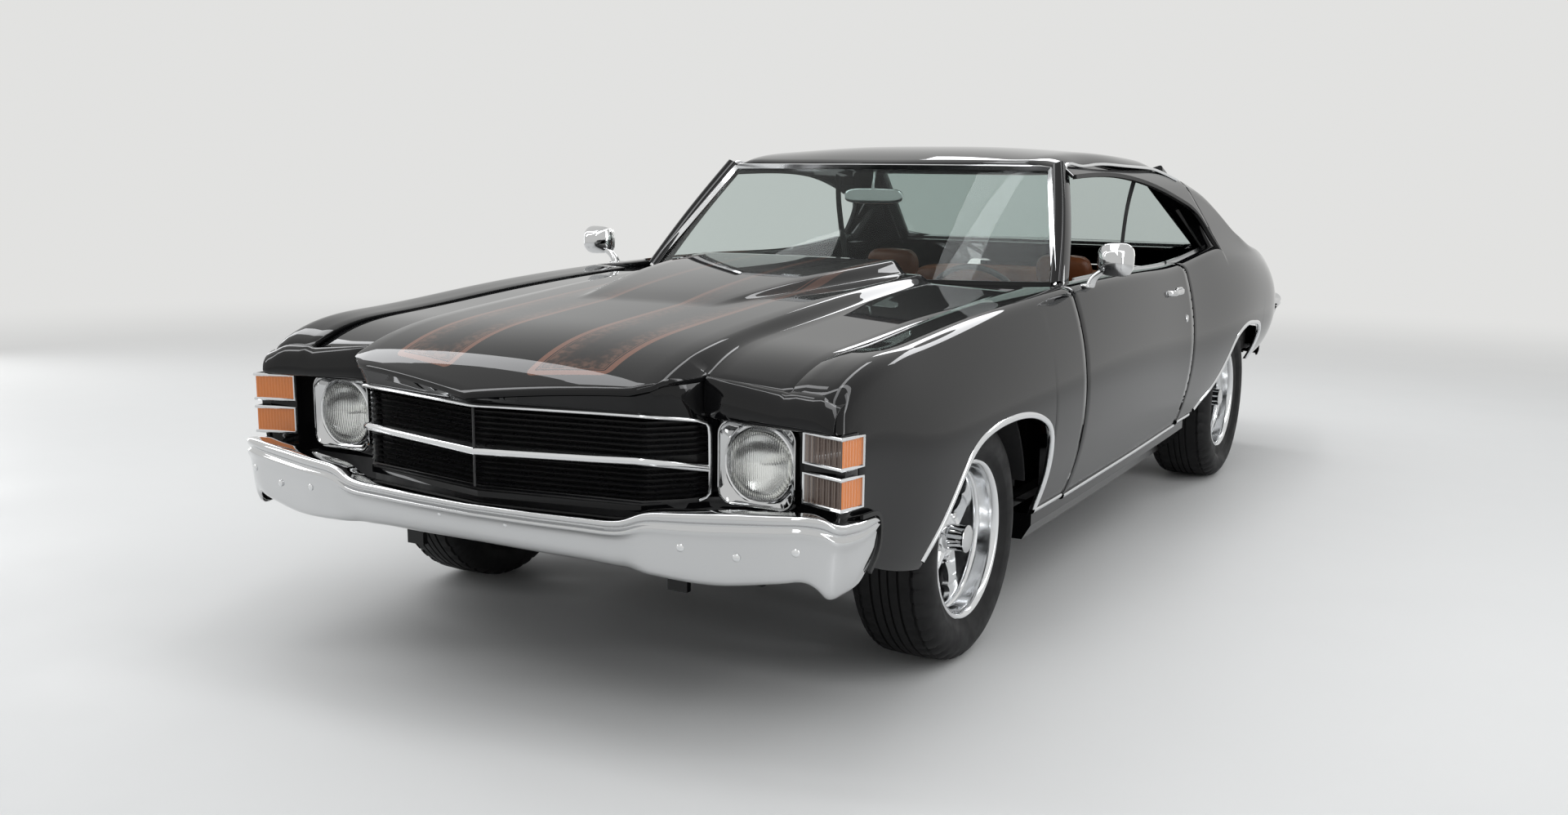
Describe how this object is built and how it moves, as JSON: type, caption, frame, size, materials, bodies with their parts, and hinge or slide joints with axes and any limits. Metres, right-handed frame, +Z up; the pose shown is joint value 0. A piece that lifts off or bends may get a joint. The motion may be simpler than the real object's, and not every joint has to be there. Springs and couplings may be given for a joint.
{
  "type": "car",
  "caption": "Two-door hardtop muscle car with a long bulged hood, vee grille, chrome bumpers, opening doors, hood and deck lid, steered front wheels and spinning wheels.",
  "frame": {"origin": "on the floor, midway between the bumpers' tips on the centreline", "axes": "+Y towards the tail along the car, +Z up, +X to the car's left"},
  "size_m": [2.028, 5.017, 1.3739],
  "materials": {
    "paint": "gloss black",
    "chrome": "polished",
    "frame_black": "satin black",
    "grille_black": "black",
    "lamp_glass": "fluted glass",
    "marker": "amber lens",
    "red_lens": "red lens",
    "window_glass": "tinted glass",
    "leather": "saddle brown",
    "dash": "black grain",
    "tyre": "black rubber",
    "wheel": "polished",
    "iron": "oiled iron",
    "steel": "aluminised steel"
  },
  "bodies": {
    "body": {"front_fender_left": "paint", "front_fender_right": "paint", "quarter_left": "paint", "quarter_right": "paint", "roof_shell": "paint", "windows": "window_glass", "deck_surround": "paint", "cowl": "paint", "rockers": "paint", "floor_pan": "frame_black", "inner_fenders": "frame_black", "frame": "frame_black", "nose_panel": "paint", "grille": "grille_black", "headlamps": "lamp_glass", "lamp_bezels": "chrome", "marker_lamps": "marker", "front_bumper": "chrome", "rear_bumper": "chrome", "tail_lamps": "red_lens", "engine": "iron", "front_suspension": "iron", "rear_axle": "iron", "front_seats": "leather", "rear_seat": "leather", "instrument_panel": "dash", "exhaust": "steel", "fuel_tank": "steel"},
    "door_left": {"door_left": "paint", "door_trim_left": "chrome"},
    "door_right": {"door_right": "paint", "door_trim_right": "chrome"},
    "hood": {"hood": "paint"},
    "deck_lid": {"deck_lid": "paint"},
    "steering_wheel": {"steering_wheel": "dash"},
    "knuckle_left": {"knuckle_left": "iron"},
    "knuckle_right": {"knuckle_right": "iron"},
    "front_wheel_left": {"front_tyre_left": "tyre", "front_rim_left": "wheel"},
    "front_wheel_right": {"front_tyre_right": "tyre", "front_rim_right": "wheel"},
    "rear_wheel_left": {"rear_tyre_left": "tyre", "rear_rim_left": "wheel"},
    "rear_wheel_right": {"rear_tyre_right": "tyre", "rear_rim_right": "wheel"}
  },
  "joints": [
    {"name": "door_left_hinge", "type": "hinge", "parent": "body", "child": "door_left", "pos_m": [0.91, -0.762, 0.65], "axis": [0, 0, -1], "range_deg": [0, 60]},
    {"name": "door_right_hinge", "type": "hinge", "parent": "body", "child": "door_right", "pos_m": [-0.91, -0.762, 0.65], "axis": [0, 0, 1], "range_deg": [0, 60]},
    {"name": "hood_hinge", "type": "hinge", "parent": "body", "child": "hood", "pos_m": [0, -0.985, 0.872], "axis": [-1, 0, 0], "range_deg": [0, 45]},
    {"name": "deck_lid_hinge", "type": "hinge", "parent": "body", "child": "deck_lid", "pos_m": [0, 1.583, 0.9774], "axis": [1, 0, 0], "range_deg": [0, 60]},
    {"name": "steering", "type": "hinge", "parent": "body", "child": "steering_wheel", "pos_m": [0.37, -0.33, 0.79], "axis": [0, 0.9272, 0.3746], "range_deg": [-528, 528]},
    {"name": "kingpin_left", "type": "hinge", "parent": "body", "child": "knuckle_left", "pos_m": [0.69, -1.5555, 0.322], "axis": [0, 0, 1], "range_deg": [-33, 33]},
    {"name": "front_wheel_left_spin", "type": "hinge", "parent": "knuckle_left", "child": "front_wheel_left", "pos_m": [0.76, -1.5555, 0.322], "axis": [1, 0, 0], "continuous": true},
    {"name": "rear_wheel_left_spin", "type": "hinge", "parent": "body", "child": "rear_wheel_left", "pos_m": [0.76, 1.2895, 0.343], "axis": [1, 0, 0], "continuous": true},
    {"name": "kingpin_right", "type": "hinge", "parent": "body", "child": "knuckle_right", "pos_m": [-0.69, -1.5555, 0.322], "axis": [0, 0, 1], "range_deg": [-33, 33]},
    {"name": "front_wheel_right_spin", "type": "hinge", "parent": "knuckle_right", "child": "front_wheel_right", "pos_m": [-0.76, -1.5555, 0.322], "axis": [1, 0, 0], "continuous": true},
    {"name": "rear_wheel_right_spin", "type": "hinge", "parent": "body", "child": "rear_wheel_right", "pos_m": [-0.76, 1.2895, 0.343], "axis": [1, 0, 0], "continuous": true}
  ],
  "couplings": [
    {"joint": "kingpin_left", "follows": "steering", "ratio": 0.0625},
    {"joint": "kingpin_right", "follows": "steering", "ratio": 0.0625}
  ]
}
